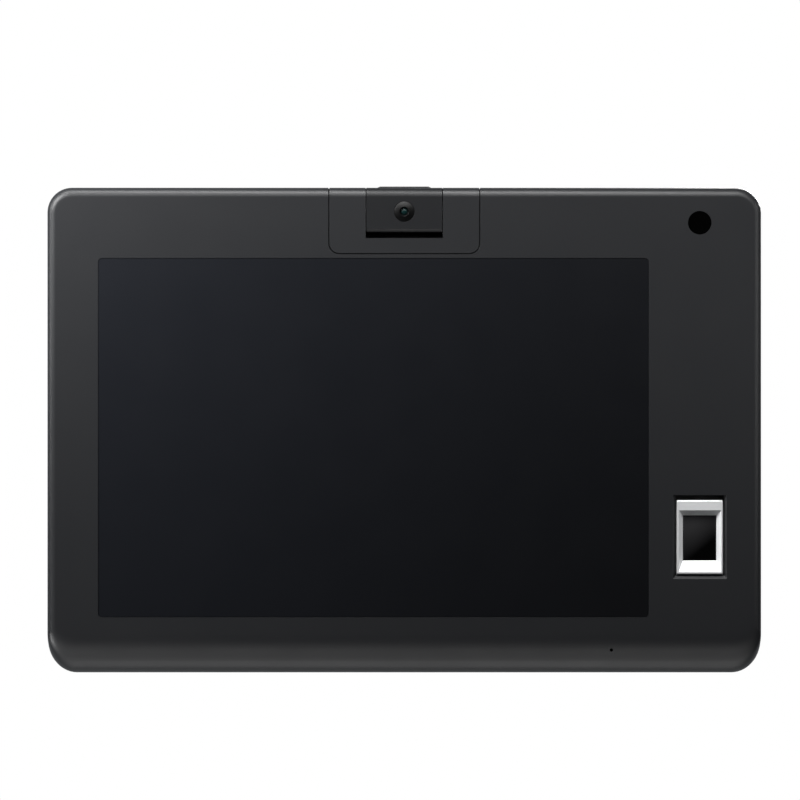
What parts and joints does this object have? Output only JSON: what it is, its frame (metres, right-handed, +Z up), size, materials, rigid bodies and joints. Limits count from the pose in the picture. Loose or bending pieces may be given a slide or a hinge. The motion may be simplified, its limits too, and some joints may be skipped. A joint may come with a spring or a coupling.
{
  "type": "fingerprint scanner terminal",
  "caption": "Wall-mounted fingerprint terminal with a wide display, a tilting camera block on its top edge and a recessed fingerprint sensor.",
  "frame": {"origin": "centre of the square mounting pattern, on the flat rear face", "axes": "+X to the right as the front is seen, +Y from the front to the back, +Z up"},
  "size_m": [0.284, 0.0325, 0.1937],
  "materials": {
    "front_plastic": "satin black moulded plastic, very fine texture",
    "cover_plastic": "matt black moulded plastic, fine spark texture",
    "surround_plastic": "satin black moulded plastic",
    "camera_plastic": "satin black moulded plastic",
    "button_plastic": "satin black",
    "screen_glass": "polished glass over a dark display",
    "display": "dark display film",
    "black_foam": "closed-cell foam",
    "sheet_metal": "bright rolled sheet",
    "circuit_board": "green solder mask",
    "component_black": "moulded black",
    "thermal_pad": "soft silicone",
    "heat_sink_metal": "extruded, satin",
    "shield_metal": "tinned",
    "antenna_film": "polyimide film",
    "light_plastic": "natural nylon",
    "black_rubber": "moulded, ribbed",
    "lens_black": "polished black",
    "lens_glass": "coated lens",
    "pin_steel": "ground steel",
    "wire_black": "soft sheath",
    "wire_red": "soft sheath",
    "flat_cable": "laminated flat cable",
    "frame_silver": "satin silver",
    "sensor_black": "smooth black coating",
    "eye_black": "infrared-passing black window",
    "brass": "knurled insert",
    "screw_black": "black oxide",
    "screw_steel": "zinc plated",
    "label_silver": "blank silver film"
  },
  "bodies": {
    "housing": {"front_housing": "front_plastic", "rear_cover": "cover_plastic", "touch_glass": "screen_glass", "display_gasket": "black_foam", "display_panel": "display", "display_frame": "sheet_metal", "main_board": "circuit_board", "board_components": "component_black", "thermal_pad": "thermal_pad", "heat_sink": "heat_sink_metal", "wireless_module": "shield_metal", "wireless_antenna": "antenna_film", "coin_cell": "shield_metal", "coin_cell_holder": "light_plastic", "network_jack": "shield_metal", "usb_port": "shield_metal", "power_jack": "component_black", "port_bay": "cover_plastic", "camera_surround": "surround_plastic", "tilt_pin_left": "pin_steel", "tilt_pin_right": "pin_steel", "camera_cable": "wire_black", "fingerprint_frame": "frame_silver", "fingerprint_gasket": "black_foam", "fingerprint_sensor": "sensor_black", "fingerprint_board": "circuit_board", "fingerprint_clamp": "component_black", "fingerprint_cable": "flat_cable", "eye_window": "eye_black", "eye_boot": "black_foam", "eye_board": "circuit_board", "microphone_boot": "black_foam", "microphone_board": "circuit_board", "power_switch": "circuit_board", "speaker_left": "component_black", "speaker_right": "component_black", "speaker_wires": "wire_red", "sensor_wires": "wire_black", "display_cable": "antenna_film", "mounting_inserts": "brass", "cover_screws": "screw_black", "frame_screws": "screw_steel", "board_screws": "screw_steel", "fingerprint_screws": "screw_steel", "eye_screws": "screw_steel", "surround_screws": "screw_steel", "rating_label": "label_silver"},
    "camera": {"camera_head": "camera_plastic", "camera_head_back": "camera_plastic", "tilt_grip": "black_rubber", "camera_lens_ring": "lens_black", "camera_lens": "lens_glass", "camera_module": "component_black", "camera_board": "circuit_board", "tilt_washers": "component_black"},
    "power_key": {"power_button": "button_plastic"}
  },
  "joints": [
    {"name": "camera_tilt", "type": "hinge", "parent": "housing", "child": "camera", "pos_m": [0, -0.023, 0.0874], "axis": [1, 0, 0], "range_deg": [-20, 20]},
    {"name": "power_press", "type": "slide", "parent": "housing", "child": "power_key", "axis": [0, 0, 1], "range_m": [0, 0.0008], "stiffness_N_per_m": 600, "springref_m": -0.0006}
  ]
}
